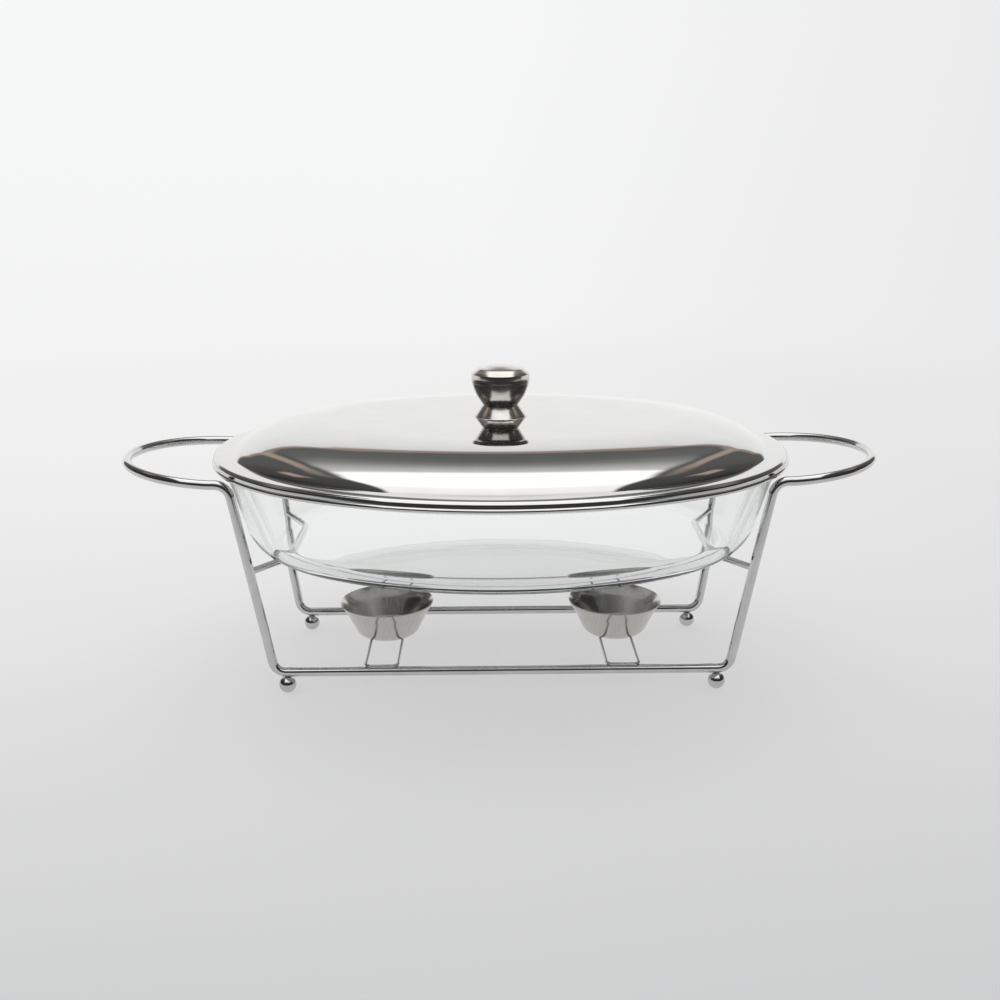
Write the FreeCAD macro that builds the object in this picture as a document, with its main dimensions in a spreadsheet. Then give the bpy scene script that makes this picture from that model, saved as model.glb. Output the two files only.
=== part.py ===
import FreeCAD, Part
import math
import os
import Sketcher

# Chafing dish: a bent wire stand with ball feet and two candle cups, an oval glass
# dish and a pressed oval lid with a knob. Millimetres, +X to the right along the
# length, -Y to the front, +Z up, origin under the middle on the table.

doc = FreeCAD.newDocument("chafing_dish")
vector = FreeCAD.Vector

# Driving dimensions

SIZES = [
    ("wire_d", 5.6, "frame wire diameter"),
    ("leg_inset", 3.49, "leg's upper corner in from the lid's edge"),
    ("rail_y", 50.9, "rail from the middle plane"),
    ("splay_x", 19.4, "leg's lean outwards along the length"),
    ("splay_y", 7.8, "leg's lean outwards to the front or back"),
    ("handle_z", 131.5, "height of the handles' wire"),
    ("handle_run", 9.8, "level wire from the leg's corner to the handle's upward bend"),
    ("handle_rise", 4.6, "rise of the handle's tip over its level wire"),
    ("handle_bend", 40.0, "radius of the handle's upward bend"),
    ("low_bend", 8.0, "bend radius between rail and leg"),
    ("high_bend", 9.0, "bend radius between leg and handle"),
    ("foot_d", 10.3, "ball foot diameter"),
    ("foot_flat", 0.2, "depth of the flat under a ball foot"),
    ("foot_inset", 7.1, "ball foot from the rail's sharp corner"),
    ("weld", 0.15, "depth to which welded wires sink together"),
    ("rest_wire_d", 4.2, "dish rest wire diameter"),
    ("rest_z", 78.0, "height of the dish rest's wire"),
    ("rest_reach", 9.7, "dish rest bar in from the rail's sharp corner"),
    ("rest_half", 26.0, "half length of the rest bar, to the sharp corner"),
    ("rest_bend", 7.0, "bend radius of the dish rest"),
    ("loop_wire_d", 1.9, "cup loop wire diameter"),
    ("loop_half", 9.85, "cup loop's long side from its middle line"),
    ("loop_over", 1.0, "cup loop's end past the rail's middle line"),
    ("loop_bend", 4.0, "bend radius of the cup loop"),
    ("cup_x", 73.0, "candle cup from the middle"),
    ("cup_wall", 0.8, "candle cup sheet"),
    ("cup_base_r", 18.3, "cup's floor radius, to the sharp corner"),
    ("cup_neck_r", 25.9, "cup's wall radius below the flare"),
    ("cup_rim_r", 30.0, "cup's rim radius"),
    ("cup_neck_z", 15.6, "height of the flare corner over the floor"),
    ("cup_height", 21.9, "height of the rim over the floor"),
    ("cup_floor_bend", 8.0, "radius between cup floor and wall"),
    ("cup_neck_bend", 20.0, "radius between wall and flare"),
    ("seat_gap", 0.3, "clearance of a piece that rests on another"),
    ("lid_length", 350.0, "length of the lid"),
    ("lid_width", 280.0, "width of the lid"),
    ("end_step", 13.5, "radius of the oval's ends short of half the width"),
    ("dish_height", 59.9, "glass dish from floor to rim"),
    ("dish_wall", 4.5, "glass wall measured level"),
    ("dish_floor", 5.5, "glass floor"),
    ("dish_lean", 16.5, "wall's lean over its height"),
    ("dish_corner", 23.0, "outside radius between floor and wall"),
    ("dish_corner_in", 18.0, "inside radius between floor and wall"),
    ("rim_height", 6.0, "height of the glass rim's bead"),
    ("rim_out", 3.5, "bead's reach past the glass wall"),
    ("rim_round", 2.4, "rounding of the bead's outer edges"),
    ("rim_inner_round", 1.6, "rounding of the bead's inner edge"),
    ("rim_inset", 3.0, "glass rim in from the lid's outer edge"),
    ("floor_inset", 62.0, "edge of the flat glass floor in from the lid's edge"),
    ("lid_sheet", 0.7, "lid sheet"),
    ("roll_d", 2.6, "diameter of the lid's rolled edge"),
    ("step_inset", 1.0, "upper step in from the rolled edge"),
    ("step_round", 1.5, "rounding of the step's upper edge"),
    ("step_height", 4.2, "flange over the middle of the rolled edge"),
    ("flange_width", 12.5, "dome's foot in from the lid's edge"),
    ("foot_bend", 0.8, "radius at the dome's foot"),
    ("shoulder_inset", 14.15, "lower dome corner in from the edge"),
    ("shoulder_rise", 3.05, "lower dome corner over the flange"),
    ("shoulder_bend", 11.5, "radius of the dome's shoulder"),
    ("haunch_inset", 27.2, "middle dome corner in from the edge"),
    ("haunch_rise", 11.75, "middle dome corner over the flange"),
    ("haunch_bend", 58.0, "radius of the dome's haunch"),
    ("crown_inset", 55.5, "upper dome corner in from the edge"),
    ("crown_rise", 17.2, "crown over the flange"),
    ("crown_bend", 168.0, "radius of the dome's upper slope"),
    ("plate_inset", 80.0, "edge of the flat crown in from the edge"),
    ("screw_d", 4.8, "knob screw shank"),
    ("screw_play", 0.3, "radial play of the shank in lid and collar"),
    ("thread_play", 0.05, "radial play of the shank in its insert"),
    ("screw_head_d", 9.0, "knob screw head"),
    ("screw_head", 2.6, "height of the screw head"),
    ("screw_grip", 9.0, "screw's reach into the insert"),
    ("washer_d", 14.0, "washer under the lid"),
    ("washer_t", 1.0, "washer thickness"),
    ("collar_r", 17.3, "collar's foot radius"),
    ("collar_edge", 0.3, "collar's edge height"),
    ("collar_lip_r", 15.9, "radius at which the collar's lip meets its cone"),
    ("collar_lip_z", 1.1, "height at which the collar's lip meets its cone"),
    ("collar_lip_bend", 1.5, "radius between the collar's lip and cone"),
    ("collar_top_r", 11.1, "collar's top radius"),
    ("collar_height", 7.9, "collar height"),
    ("groove_r", 10.2, "radius of the shadow groove"),
    ("groove_h", 0.6, "height of the shadow groove"),
    ("neck_r", 11.2, "bowl's neck radius"),
    ("bowl_mid_r", 15.4, "bowl's middle corner radius"),
    ("bowl_mid_z", 7.0, "bowl's middle corner over its foot"),
    ("bowl_bend", 16.0, "bend of the bowl's outline"),
    ("bowl_height", 13.9, "bowl height"),
    ("knob_r", 17.7, "knob radius"),
    ("band_height", 4.9, "height of the cap's straight band"),
    ("cap_rise", 6.2, "rise of the cap's domed top"),
    ("cap_joint", 0.5, "depth of the joint line under the cap"),
    ("insert_d", 8.0, "threaded insert diameter"),
    ("insert_h", 11.0, "threaded insert height"),
]

sheet = doc.addObject("Spreadsheet::Sheet", "Dim")
for row, (alias, value, meaning) in enumerate(SIZES, start=1):
    sheet.set(f"A{row}", meaning)
    sheet.set(f"B{row}", str(value))
    sheet.setAlias(f"B{row}", alias)
doc.recompute()

# Formulas that several pieces share

OVAL_A = "(Dim.lid_length / 2)"
OVAL_B = "(Dim.lid_width / 2)"
END_R = "(" + OVAL_B + " - Dim.end_step)"
END_X = "(" + OVAL_A + " - " + END_R + ")"
SIDE_R = "((" + END_X + "^2 + " + OVAL_B + "^2 - " + END_R + "^2) / (2 * Dim.end_step))"
SIDE_Y = "(" + SIDE_R + " - " + OVAL_B + ")"
END_ANGLE = "(2 * atan(" + SIDE_Y + " / " + END_X + "))"
SIDE_ANGLE = "(180 deg - " + END_ANGLE + ")"
RAIL_Z = "(Dim.foot_d - Dim.foot_flat + Dim.wire_d / 2 - Dim.weld)"
LEG_RISE = "(Dim.handle_z - " + RAIL_Z + ")"
LOOP_Z = "(" + RAIL_Z + " + Dim.wire_d / 2 + Dim.loop_wire_d / 2 - Dim.weld)"
CUP_Z = "(" + LOOP_Z + " + Dim.loop_wire_d / 2)"
HANDLE_R = "(Dim.rail_y + Dim.splay_y)"
LEG_TOP_X = "(" + END_X + " + sqrt((" + END_R + " - Dim.leg_inset)^2 - " + HANDLE_R + "^2))"
RAIL_X = "(" + LEG_TOP_X + " - Dim.splay_x)"
HANDLE_X = "(" + LEG_TOP_X + " + Dim.handle_run)"
HANDLE_LIFT = "asin(Dim.handle_rise / " + HANDLE_R + ")"
REST_X = "(" + RAIL_X + " - Dim.rest_reach)"
REST_SHARE = "((Dim.rest_z - " + RAIL_Z + ") / " + LEG_RISE + ")"
REST_LEG_X = "(" + RAIL_X + " + Dim.splay_x * " + REST_SHARE + ")"
REST_LEG_Y = "(Dim.rail_y + Dim.splay_y * " + REST_SHARE + ")"
DISH_Z = "(Dim.rest_z + Dim.rest_wire_d / 2 + Dim.seat_gap)"
RIM_Z = "(" + DISH_Z + " + Dim.dish_height)"
FLANGE_Z = "(" + RIM_Z + " + Dim.seat_gap + Dim.lid_sheet)"
CROWN_Z = "(" + FLANGE_Z + " + Dim.crown_rise)"
COLLAR_TOP_Z = "(" + CROWN_Z + " + Dim.collar_height)"
BOWL_TOP_Z = "(" + COLLAR_TOP_Z + " + Dim.bowl_height)"


def size(formula):
    """The value of a formula of sizes, in mm or degrees."""
    value = sheet.evalExpression(formula)
    return float(getattr(value, "Value", value))


# Sketch helpers


def new_body(label):
    """A body whose label names its file."""
    body = doc.addObject("PartDesign::Body", label)
    body.Label = label
    return body


def new_sketch(body, role, name, offset=None, axis=None):
    """A sketch on one of the body's origin planes, moved by formulas and turned about an axis."""
    sketch = body.newObject("Sketcher::SketchObject", body.Label + "_" + name)
    plane = [item for item in body.Origin.OriginFeatures if item.Role == role][0]
    sketch.AttachmentSupport = [(plane, "")]
    sketch.MapMode = "FlatFace"
    if axis:
        sketch.AttachmentOffset = FreeCAD.Placement(vector(0, 0, 0), FreeCAD.Rotation(axis, 1))
    for field, formula in (offset or {}).items():
        sketch.setExpression("AttachmentOffset." + field, formula)
    return sketch


def bind(sketch, kind, targets, formula):
    """A dimension constraint bound to a formula of sizes."""
    value = size(formula)
    if kind == "Radius":
        index = sketch.addConstraint(Sketcher.Constraint(kind, *targets, value))
    else:
        index = sketch.addConstraint(Sketcher.Constraint(kind, -1, 1, *targets, value))
    sketch.setExpression(f"Constraints[{index}]", formula)


def place_point(sketch, item, vertex, corner):
    """Fixes a point of the sketch at its formulas; a zero lies on the axis."""
    for kind, formula, axis in (("DistanceX", corner[0], -2), ("DistanceY", corner[1], -1)):
        if formula == "0":
            sketch.addConstraint(Sketcher.Constraint("PointOnObject", item, vertex, axis))
        else:
            bind(sketch, kind, (item, vertex), formula)


def bend_arc(centre, radius, start, end, left_turn):
    """A bend from start to end, with which of its own ends the path comes in and goes out by."""
    first, last = (start, end) if left_turn else (end, start)
    angle_1 = math.atan2(first.y - centre.y, first.x - centre.x)
    angle_2 = math.atan2(last.y - centre.y, last.x - centre.x)
    arc = Part.ArcOfCircle(Part.Circle(centre, vector(0, 0, 1), radius), angle_1, angle_2)
    return (arc, 1, 2) if left_turn else (arc, 2, 1)


class Path:
    """Straight runs through corners (x, y, bend radius) joined by tangent bends."""

    def __init__(self, sketch, corners, closed):
        self.sketch = sketch
        self.corners = corners
        self.closed = closed
        self.points = [vector(size(corner[0]), size(corner[1]), 0) for corner in corners]
        self.runs = {}
        self.bends = {}
        self.plan()
        self.draw_runs()
        self.draw_bends()
        self.join()

    def bent(self, i):
        return len(self.corners[i]) > 2

    def plan(self):
        """Where each bend starts and ends, its centre and its side."""
        count = len(self.points)
        self.start = list(self.points)
        self.end = list(self.points)
        self.centre = [None] * count
        self.turn = [0.0] * count
        for i in range(count):
            if not self.bent(i):
                continue
            here = self.points[i]
            back = (self.points[i - 1] - here).normalize()
            ahead = (self.points[(i + 1) % count] - here).normalize()
            radius = size(self.corners[i][2])
            turn = math.pi - back.getAngle(ahead)
            reach = radius * math.tan(turn / 2)
            self.start[i] = here + back * reach
            self.end[i] = here + ahead * reach
            self.centre[i] = here + (back + ahead).normalize() * (radius / math.cos(turn / 2))
            self.turn[i] = math.copysign(1, back.cross(ahead).z * -1)

    def draw_runs(self):
        count = len(self.points)
        last = count if self.closed else count - 1
        for i in range(last):
            line = Part.LineSegment(self.end[i], self.start[(i + 1) % count])
            self.runs[i] = self.sketch.addGeometry(line)

    def draw_bends(self):
        for i in range(len(self.points)):
            if self.bent(i):
                radius = size(self.corners[i][2])
                arc, enters, leaves = bend_arc(
                    self.centre[i], radius, self.start[i], self.end[i], self.turn[i] > 0)
                self.bends[i] = (self.sketch.addGeometry(arc), enters, leaves)

    def join(self):
        count = len(self.points)
        for i in range(count):
            before = self.runs.get((i - 1) % count) if (i or self.closed) else None
            after = self.runs.get(i)
            if self.bent(i):
                arc, enters, leaves = self.bends[i]
                tangent = self.sketch.addConstraint
                tangent(Sketcher.Constraint("Tangent", before, 2, arc, enters))
                tangent(Sketcher.Constraint("Tangent", arc, leaves, after, 1))
                bind(self.sketch, "Radius", (arc,), self.corners[i][2])
                mark = self.sketch.addGeometry(Part.Point(self.points[i]), True)
                self.sketch.addConstraint(Sketcher.Constraint("PointOnObject", mark, 1, before))
                self.sketch.addConstraint(Sketcher.Constraint("PointOnObject", mark, 1, after))
                place_point(self.sketch, mark, 1, self.corners[i])
            elif before is not None and after is not None:
                self.sketch.addConstraint(Sketcher.Constraint("Coincident", before, 2, after, 1))
                place_point(self.sketch, after, 1, self.corners[i])
            elif after is not None:
                place_point(self.sketch, after, 1, self.corners[i])
            else:
                place_point(self.sketch, before, 2, self.corners[i])


def bent_sheet(sketch, corners, sheet_formula, side):
    """The closed section of a bent sheet: a path and its parallel on one side, 1 left or -1 right."""
    path = Path(sketch, corners, closed=False)
    thick = size(sheet_formula)
    count = len(corners)
    add = sketch.addConstraint

    def shifted(point, i):
        along = (path.start[i + 1] - path.end[i]).normalize()
        return point + vector(-along.y, along.x, 0) * (thick * side)

    runs = []
    for i in range(count - 1):
        line = Part.LineSegment(shifted(path.end[i], i), shifted(path.start[i + 1], i))
        runs.append(sketch.addGeometry(line))
    for i in range(1, count - 1):
        sign = "-" if path.turn[i] * side > 0 else "+"
        formula = f"{corners[i][2]} {sign} {sheet_formula}"
        arc, enters, leaves = bend_arc(
            path.centre[i], size(formula), shifted(path.start[i], i - 1),
            shifted(path.end[i], i), path.turn[i] > 0)
        bend = sketch.addGeometry(arc)
        add(Sketcher.Constraint("Coincident", bend, 3, path.bends[i][0], 3))
        add(Sketcher.Constraint("Tangent", runs[i - 1], 2, bend, enters))
        add(Sketcher.Constraint("Tangent", bend, leaves, runs[i], 1))
        bind(sketch, "Radius", (bend,), formula)
    for run, vertex in ((0, 1), (count - 2, 2)):
        outer, inner = path.runs[run], runs[run]
        ends = [path.points[0], shifted(path.points[0], 0)]
        if vertex == 2:
            ends = [path.points[-1], shifted(path.points[-1], run)]
        cap = sketch.addGeometry(Part.LineSegment(*ends))
        add(Sketcher.Constraint("Coincident", cap, 1, outer, vertex))
        add(Sketcher.Constraint("Coincident", cap, 2, inner, vertex))
        add(Sketcher.Constraint("Parallel", outer, inner))
        add(Sketcher.Constraint("Perpendicular", cap, outer))


def circle(sketch, x, y, radius):
    """A circle whose middle and radius are formulas."""
    middle = vector(size(x), size(y), 0)
    ring = sketch.addGeometry(Part.Circle(middle, vector(0, 0, 1), size(radius)))
    bind(sketch, "Radius", (ring,), radius)
    place_point(sketch, ring, 3, (x, y))


def turning_axis(sketch, kind, x, y):
    """A construction line from a point to revolve about, Vertical or Horizontal."""
    start = vector(size(x), size(y), 0)
    length = 10
    along = vector(0, length, 0) if kind == "Vertical" else vector(length, 0, 0)
    line = sketch.addGeometry(Part.LineSegment(start, start + along), True)
    sketch.addConstraint(Sketcher.Constraint(kind, line))
    sketch.addConstraint(Sketcher.Constraint("Distance", line, length))
    place_point(sketch, line, 1, (x, y))


# Feature helpers


def finish(body, feature):
    """Makes the feature the body's result and rebuilds it."""
    body.Tip = feature
    doc.recompute()
    return feature


def pipe(body, name, profile, spine):
    feature = body.newObject("PartDesign::AdditivePipe", body.Label + "_" + name)
    feature.Profile = profile
    feature.Spine = (spine, [])
    return finish(body, feature)


def revolve(body, name, profile, axis="V_Axis", angle="360 deg", midplane=False, reverse=False):
    feature = body.newObject("PartDesign::Revolution", body.Label + "_" + name)
    feature.Profile = profile
    feature.ReferenceAxis = (profile, [axis])
    feature.Midplane = midplane
    feature.Reversed = reverse
    feature.setExpression("Angle", angle)
    return finish(body, feature)


def pad(body, name, profile, length):
    feature = body.newObject("PartDesign::Pad", body.Label + "_" + name)
    feature.Profile = profile
    feature.setExpression("Length", length)
    return finish(body, feature)


def pocket(body, name, profile):
    """Cuts the profile right through the body on both sides of its sketch."""
    feature = body.newObject("PartDesign::Pocket", body.Label + "_" + name)
    before = body.Shape.Volume
    feature.Profile = profile
    feature.Type = "ThroughAll"
    feature.Midplane = True
    finish(body, feature)
    if body.Shape.Volume >= before:
        raise RuntimeError(body.Label + ": the pocket cut nothing")
    return feature


def mirror(body, name, originals, role):
    feature = body.newObject("PartDesign::Mirrored", body.Label + "_" + name)
    feature.Originals = originals
    plane = [item for item in body.Origin.OriginFeatures if item.Role == role][0]
    feature.MirrorPlane = (plane, [""])
    return finish(body, feature)


def coped(label, blank, tools):
    """The blank with its welded places cut to the shape of the pieces that it meets."""
    result = blank
    for number, tool in enumerate(tools, start=1):
        cut = doc.addObject("Part::Cut", f"{label}_cope_{number}")
        cut.Base = result
        cut.Tool = tool
        result = cut
    doc.recompute()
    result.Label = label
    return result


# Wire stand


def frame_wire(label, front):
    """Rail, two splayed legs and a quarter of each handle: front is 1 for -Y and -1 for +Y."""
    body = new_body(label)
    slope = f"sqrt({LEG_RISE}^2 + Dim.splay_y^2)"
    spine = new_sketch(body, "XZ_Plane", "leg_path", {
        "Base.y": RAIL_Z,
        "Base.z": f"{front} * Dim.rail_y",
        "Rotation.Angle": f"{front} * atan(Dim.splay_y / {LEG_RISE})",
    }, axis=vector(1, 0, 0))
    Path(spine, [
        ("0", "0"),
        (RAIL_X, "0", "Dim.low_bend"),
        (LEG_TOP_X, slope, "Dim.high_bend"),
        (HANDLE_X, slope),
    ], closed=False)
    profile = new_sketch(body, "YZ_Plane", "rail_section")
    circle(profile, f"{-front} * Dim.rail_y", RAIL_Z, "Dim.wire_d / 2")
    doc.recompute()
    leg = pipe(body, "leg", profile, spine)
    level = new_sketch(body, "YZ_Plane", "level_section", {"Base.z": HANDLE_X})
    circle(level, f"{-front} * {HANDLE_R}", "Dim.handle_z", "Dim.wire_d / 2")
    turning_axis(level, "Horizontal", "0", "Dim.handle_z + Dim.handle_bend")
    lift = revolve(body, "upward_bend", level, "Axis0", HANDLE_LIFT, reverse=True)
    tip = new_sketch(body, "XZ_Plane", "handle_section", {
        "Base.x": f"{HANDLE_X} + Dim.handle_bend * sin({HANDLE_LIFT})",
        "Base.y": f"Dim.handle_z + Dim.handle_bend * (1 - cos({HANDLE_LIFT}))",
        "Rotation.Angle": HANDLE_LIFT,
    }, axis=vector(0, 0, 1))
    circle(tip, HANDLE_R, "0", "Dim.wire_d / 2")
    quarter = revolve(body, "handle", tip, "V_Axis", "90 deg", reverse=front > 0)
    mirror(body, "left_half", [leg, lift, quarter], "YZ_Plane")
    return body


def foot(label, side_x, side_y, wire):
    """A ball with a small flat below, saddled to the rail above it."""
    ball = doc.addObject("Part::Sphere", label + "_ball")
    flat_r = "sqrt(Dim.foot_flat * (Dim.foot_d - Dim.foot_flat))"
    ball.setExpression("Radius", "Dim.foot_d / 2")
    ball.setExpression("Angle1", f"-acos(2 * {flat_r} / Dim.foot_d)")
    ball.setExpression("Placement.Base.x", f"{side_x} * ({RAIL_X} - Dim.foot_inset)")
    ball.setExpression("Placement.Base.y", f"{side_y} * Dim.rail_y")
    ball.setExpression("Placement.Base.z", "Dim.foot_d / 2 - Dim.foot_flat")
    return coped(label, ball, [wire])


def dish_rest(label, side, wires):
    """A staple between two legs: its bar carries the dish, its arms end on the legs."""
    body = new_body(label + "_blank")
    level = {"Base.z": "Dim.rest_z"}
    spine = new_sketch(body, "XY_Plane", "path", level)
    Path(spine, [
        (f"{side} * {REST_X}", "0"),
        (f"{side} * {REST_X}", "Dim.rest_half", "Dim.rest_bend"),
        (f"{side} * {REST_LEG_X}", REST_LEG_Y),
    ], closed=False)
    profile = new_sketch(body, "XZ_Plane", "section")
    circle(profile, f"{side} * {REST_X}", "Dim.rest_z", "Dim.rest_wire_d / 2")
    doc.recompute()
    arm = pipe(body, "arm", profile, spine)
    mirror(body, "front_half", [arm], "XZ_Plane")
    return coped(label, body, wires)


def cup_loop(label, side, wires):
    """A closed loop of thin wire that lies across both rails."""
    body = new_body(label + "_blank")
    level = {"Base.z": LOOP_Z}
    near = f"{side} * Dim.cup_x - Dim.loop_half"
    far = f"{side} * Dim.cup_x + Dim.loop_half"
    spine = new_sketch(body, "XY_Plane", "path", level)
    end_y = "(Dim.rail_y + Dim.loop_over)"
    Path(spine, [
        (near, "0"),
        (near, end_y, "Dim.loop_bend"),
        (far, end_y, "Dim.loop_bend"),
        (far, "0"),
    ], closed=False)
    profile = new_sketch(body, "XZ_Plane", "section")
    circle(profile, near, LOOP_Z, "Dim.loop_wire_d / 2")
    doc.recompute()
    half = pipe(body, "half", profile, spine)
    mirror(body, "front_half", [half], "XZ_Plane")
    return coped(label, body, wires)


def candle_cup(label, side):
    """A spun cup: flat floor, round corner, conical wall that flares to the rim."""
    body = new_body(label)
    section = new_sketch(body, "XZ_Plane", "section")
    bent_sheet(section, [
        ("0", "0"),
        ("Dim.cup_base_r", "0", "Dim.cup_floor_bend"),
        ("Dim.cup_neck_r", "Dim.cup_neck_z", "Dim.cup_neck_bend"),
        ("Dim.cup_rim_r", "Dim.cup_height"),
    ], "Dim.cup_wall", 1)
    revolve(body, "spun", section)
    body.setExpression("Placement.Base.x", f"{side} * Dim.cup_x")
    body.setExpression("Placement.Base.z", CUP_Z)
    return body


# Oval forms: four tangent arcs, every section measured in from the lid's outer edge


def oval_ring(body, name, draw):
    """Sweeps a section round the oval as two end sectors and two side sectors."""
    end = new_sketch(body, "XZ_Plane", name + "_end_section")
    draw(end, lambda inset: f"{OVAL_A} - ({inset})", -1)
    turning_axis(end, "Vertical", END_X, "0")
    side = new_sketch(body, "YZ_Plane", name + "_side_section")
    draw(side, lambda inset: f"({inset}) - {OVAL_B}", 1)
    turning_axis(side, "Vertical", SIDE_Y, "0")
    doc.recompute()
    right = revolve(body, name + "_right_end", end, "Axis0", END_ANGLE, midplane=True)
    front = revolve(body, name + "_front_side", side, "Axis0", SIDE_ANGLE, midplane=True)
    mirror(body, name + "_rear_side", [front], "XZ_Plane")
    mirror(body, name + "_left_end", [right], "YZ_Plane")


def oval_outline(sketch, inset):
    """A four-arc oval parallel to the lid's edge."""
    end_x = size(END_X)
    side_y = size(SIDE_Y)
    half = math.radians(size(END_ANGLE) / 2)
    end_r = size(f"{END_R} - {inset}")
    side_r = size(f"{SIDE_R} - {inset}")
    up = vector(0, 0, 1)
    arcs = [
        Part.ArcOfCircle(Part.Circle(vector(end_x, 0, 0), up, end_r), -half, half),
        Part.ArcOfCircle(Part.Circle(vector(0, -side_y, 0), up, side_r), half, math.pi - half),
        Part.ArcOfCircle(Part.Circle(vector(-end_x, 0, 0), up, end_r), math.pi - half, math.pi + half),
        Part.ArcOfCircle(Part.Circle(vector(0, side_y, 0), up, side_r), math.pi + half, 2 * math.pi - half),
    ]
    right, rear, left, front = [sketch.addGeometry(arc) for arc in arcs]
    for here, following in ((right, rear), (rear, left), (left, front), (front, right)):
        sketch.addConstraint(Sketcher.Constraint("Tangent", here, 2, following, 1))
    place_point(sketch, right, 3, (END_X, "0"))
    place_point(sketch, left, 3, (f"-1 * {END_X}", "0"))
    bind(sketch, "Radius", (right,), f"{END_R} - {inset}")
    bind(sketch, "Radius", (left,), f"{END_R} - {inset}")
    bind(sketch, "DistanceY", (rear, 3), f"-1 * {SIDE_Y}")
    bind(sketch, "DistanceY", (front, 3), SIDE_Y)


def glass_dish():
    """Flat floor, round corner, leaning wall and a thick rounded rim."""
    body = new_body("glass_dish")
    wall_foot = f"({DISH_Z} + Dim.dish_floor)"
    wall_d = "(Dim.rim_inset + Dim.rim_out)"
    slope = "(Dim.dish_lean / (Dim.dish_height - Dim.rim_height))"
    inner_foot = f"{wall_d} + Dim.dish_wall + {slope} * (Dim.dish_height - Dim.dish_floor)"

    def section(sketch, across, side):
        Path(sketch, [
            (across("Dim.floor_inset"), DISH_Z),
            (across(f"{wall_d} + Dim.dish_lean"), DISH_Z, "Dim.dish_corner"),
            (across(wall_d), f"{RIM_Z} - Dim.rim_height"),
            (across("Dim.rim_inset"), f"{RIM_Z} - Dim.rim_height", "Dim.rim_round"),
            (across("Dim.rim_inset"), RIM_Z, "Dim.rim_round"),
            (across(f"{wall_d} + Dim.dish_wall"), RIM_Z, "Dim.rim_inner_round"),
            (across(inner_foot), wall_foot, "Dim.dish_corner_in"),
            (across("Dim.floor_inset"), wall_foot),
        ], closed=True)

    oval_ring(body, "wall", section)
    plan = new_sketch(body, "XY_Plane", "floor_plan", {"Base.z": DISH_Z})
    oval_outline(plan, "Dim.floor_inset")
    pad(body, "floor", plan, "Dim.dish_floor")
    return body


def lid_shell():
    """Pressed oval lid: rolled edge, step, flat flange and a low dome, with a screw hole."""
    body = new_body("lid_shell")
    roll_z = f"({FLANGE_Z} - Dim.step_height)"

    def pressed(sketch, across, side):
        bent_sheet(sketch, [
            (across("Dim.plate_inset"), CROWN_Z),
            (across("Dim.crown_inset"), CROWN_Z, "Dim.crown_bend"),
            (across("Dim.haunch_inset"), f"{FLANGE_Z} + Dim.haunch_rise", "Dim.haunch_bend"),
            (across("Dim.shoulder_inset"), f"{FLANGE_Z} + Dim.shoulder_rise", "Dim.shoulder_bend"),
            (across("Dim.flange_width"), FLANGE_Z, "Dim.foot_bend"),
            (across("Dim.step_inset"), FLANGE_Z, "Dim.step_round"),
            (across("Dim.step_inset"), roll_z),
        ], "Dim.lid_sheet", side)

    def rolled(sketch, across, side):
        circle(sketch, across("Dim.roll_d / 2"), roll_z, "Dim.roll_d / 2")

    oval_ring(body, "sheet", pressed)
    oval_ring(body, "roll", rolled)
    plan = new_sketch(body, "XY_Plane", "crown_plan", {"Base.z": f"{CROWN_Z} - Dim.lid_sheet"})
    oval_outline(plan, "Dim.plate_inset")
    pad(body, "crown", plan, "Dim.lid_sheet")
    hole = new_sketch(body, "XY_Plane", "screw_hole", {"Base.z": CROWN_Z})
    circle(hole, "0", "0", "Dim.screw_d / 2 + Dim.screw_play")
    pocket(body, "screw_way", hole)
    return body


# Knob, from the lid upwards, and its fixing below


def turned(label, corners, height):
    """A turned piece: its half outline beside the axis, raised to its height."""
    body = new_body(label)
    section = new_sketch(body, "XZ_Plane", "section")
    Path(section, corners, closed=True)
    revolve(body, "turned", section)
    body.setExpression("Placement.Base.z", height)
    return body


def knob():
    """Cap, bowl and collar, with the insert, the screw and the washer that hold them."""
    hole = "(Dim.screw_d / 2 + Dim.screw_play)"
    socket = "(Dim.insert_d / 2)"
    turned("knob_collar", [
        (hole, "0"),
        ("Dim.collar_r", "0"),
        ("Dim.collar_r", "Dim.collar_edge"),
        ("Dim.collar_lip_r", "Dim.collar_lip_z", "Dim.collar_lip_bend"),
        ("Dim.collar_top_r", "Dim.collar_height"),
        (hole, "Dim.collar_height"),
    ], CROWN_Z)
    turned("knob_bowl", [
        (socket, "0"),
        ("Dim.groove_r", "0"),
        ("Dim.groove_r", "Dim.groove_h"),
        ("Dim.neck_r", "Dim.groove_h"),
        ("Dim.bowl_mid_r", "Dim.bowl_mid_z", "Dim.bowl_bend"),
        ("Dim.knob_r", "Dim.bowl_height"),
        ("0", "Dim.bowl_height"),
        ("0", "Dim.insert_h"),
        (socket, "Dim.insert_h"),
    ], COLLAR_TOP_Z)
    insert_play = "(Dim.screw_d / 2 + Dim.thread_play)"
    turned("knob_nut", [
        (insert_play, "0"),
        (socket, "0"),
        (socket, "Dim.insert_h"),
        (insert_play, "Dim.insert_h"),
    ], COLLAR_TOP_Z)
    turned("knob_washer", [
        (hole, "0"),
        ("Dim.washer_d / 2", "0"),
        ("Dim.washer_d / 2", "Dim.washer_t"),
        (hole, "Dim.washer_t"),
    ], f"{CROWN_Z} - Dim.lid_sheet - Dim.washer_t")
    knob_cap()
    knob_screw()


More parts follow.
